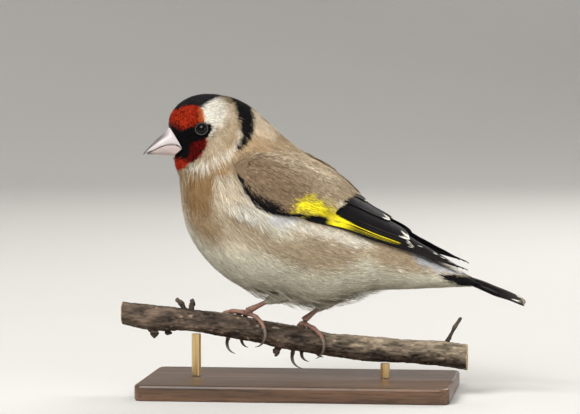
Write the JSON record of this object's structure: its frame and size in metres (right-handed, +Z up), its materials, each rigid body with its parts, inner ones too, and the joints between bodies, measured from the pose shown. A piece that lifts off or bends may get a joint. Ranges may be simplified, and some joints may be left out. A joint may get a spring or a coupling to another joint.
{
  "type": "european goldfinch model on a perch",
  "caption": "Life-size still model of a small songbird, a European goldfinch with folded wings, gripping a short length of branch held by a plain flat display stand",
  "frame": {"origin": "centre of the underside of the display stand's base, which rests on the floor", "axes": "+Z up, -X the way the bird's body faces, -Y the bird's left side, which the picture shows"},
  "size_m": [0.1278, 0.054, 0.0945],
  "materials": {
    "red_black_face_plumage": "soft matte small feathers, crimson mask round the bill with black lores and crown and cream cheeks",
    "buff_neck_plumage": "soft matte small feathers, warm buff-brown hind neck and throat sides with a black half collar",
    "buff_white_body_plumage": "soft matte small feathers, brown mantle and breast patches over a cream and white underside",
    "black_yellow_flight_feathers": "satin feather vanes, black with a yellow bar and white tip spots under brown coverts",
    "black_tail_feathers": "satin feather vanes, black with white spots near the tips and pale fringes",
    "bill_horn": "smooth satin horn, pinkish ivory with a dark ridge and tip",
    "eye": "wet gloss, very dark brown",
    "leg_skin": "scaly satin skin, dull pinkish brown",
    "claw_horn": "smooth satin horn, dark grey-brown",
    "bark": "rough matte grey-brown bark with pale pores",
    "stand_wood": "dark stained wood, satin",
    "stand_brass": "brushed brass"
  },
  "bodies": {
    "root": {"bill_lower": "bill_horn", "bill_upper": "bill_horn", "claw_left_hind": "claw_horn", "claw_left_inner": "claw_horn", "claw_left_middle": "claw_horn", "claw_left_outer": "claw_horn", "claw_right_hind": "claw_horn", "claw_right_inner": "claw_horn", "claw_right_middle": "claw_horn", "claw_right_outer": "claw_horn", "eye_left": "eye", "eye_right": "eye", "head": "red_black_face_plumage", "leg_left": "leg_skin", "leg_right": "leg_skin", "neck": "buff_neck_plumage", "perch": "bark", "stand_base": "stand_wood", "stand_rod_1": "stand_brass", "stand_rod_2": "stand_brass", "tail": "black_tail_feathers", "torso": "buff_white_body_plumage", "wing_left": "black_yellow_flight_feathers", "wing_right": "black_yellow_flight_feathers"}
  },
  "joints": []
}
